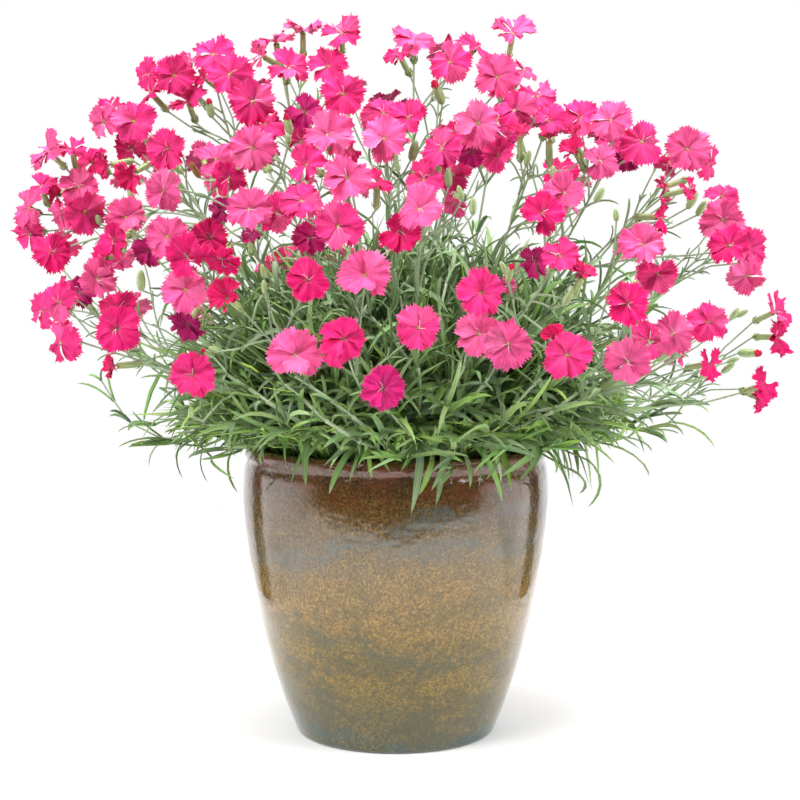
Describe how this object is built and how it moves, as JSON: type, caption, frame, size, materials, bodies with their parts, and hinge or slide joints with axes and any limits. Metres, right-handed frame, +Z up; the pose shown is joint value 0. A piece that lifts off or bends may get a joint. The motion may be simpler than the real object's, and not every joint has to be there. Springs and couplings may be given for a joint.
{
  "type": "potted flowering plant",
  "caption": "Bushy pinks plant with toothed single flowers on branching stems and narrow arching leaves, growing in a rounded, glazed ceramic pot with a rolled lip.",
  "frame": {"origin": "middle of the pot's underside, on the surface the pot stands on", "axes": "+Z up along the pot's axis, -Y towards the viewer's side, +X to that viewer's right, the plant's widest spread"},
  "size_m": [0.5276, 0.4225, 0.4922],
  "materials": {
    "pot_glaze": "glossy mottled olive, rust and blue-grey glaze over stoneware",
    "potting_soil": "crumbly dark peat and bark mix, slightly damp",
    "leaf_green": "fresh stems and leaves, blue-green with a dull waxy bloom",
    "petal_pink": "velvety fresh petals, hot pink with paler streaks from the throat"
  },
  "bodies": {
    "root": {"flowering_stem_01": "petal_pink", "flowering_stem_02": "petal_pink", "flowering_stem_03": "petal_pink", "flowering_stem_04": "petal_pink", "flowering_stem_05": "petal_pink", "flowering_stem_06": "petal_pink", "flowering_stem_07": "petal_pink", "flowering_stem_08": "petal_pink", "flowering_stem_09": "petal_pink", "flowering_stem_10": "petal_pink", "flowering_stem_11": "petal_pink", "flowering_stem_12": "petal_pink", "flowering_stem_13": "petal_pink", "flowering_stem_14": "petal_pink", "flowering_stem_15": "petal_pink", "flowering_stem_16": "petal_pink", "flowering_stem_17": "petal_pink", "flowering_stem_18": "petal_pink", "flowering_stem_19": "petal_pink", "flowering_stem_20": "petal_pink", "flowering_stem_21": "petal_pink", "flowering_stem_22": "petal_pink", "flowering_stem_23": "petal_pink", "flowering_stem_24": "petal_pink", "flowering_stem_25": "petal_pink", "flowering_stem_26": "petal_pink", "flowering_stem_27": "petal_pink", "flowering_stem_28": "petal_pink", "flowering_stem_29": "petal_pink", "flowering_stem_30": "petal_pink", "flowering_stem_31": "petal_pink", "flowering_stem_32": "petal_pink", "flowering_stem_33": "petal_pink", "flowering_stem_34": "petal_pink", "flowering_stem_35": "petal_pink", "flowering_stem_36": "petal_pink", "flowering_stem_37": "petal_pink", "flowering_stem_38": "petal_pink", "flowering_stem_39": "petal_pink", "flowering_stem_40": "petal_pink", "flowering_stem_41": "petal_pink", "flowering_stem_42": "petal_pink", "flowering_stem_43": "petal_pink", "flowering_stem_44": "petal_pink", "flowering_stem_45": "petal_pink", "leaf_tuft_01": "leaf_green", "leaf_tuft_02": "leaf_green", "leaf_tuft_03": "leaf_green", "leaf_tuft_04": "leaf_green", "leaf_tuft_05": "leaf_green", "leaf_tuft_06": "leaf_green", "leaf_tuft_07": "leaf_green", "leaf_tuft_08": "leaf_green", "pot": "pot_glaze", "potting_soil": "potting_soil"}
  },
  "joints": []
}
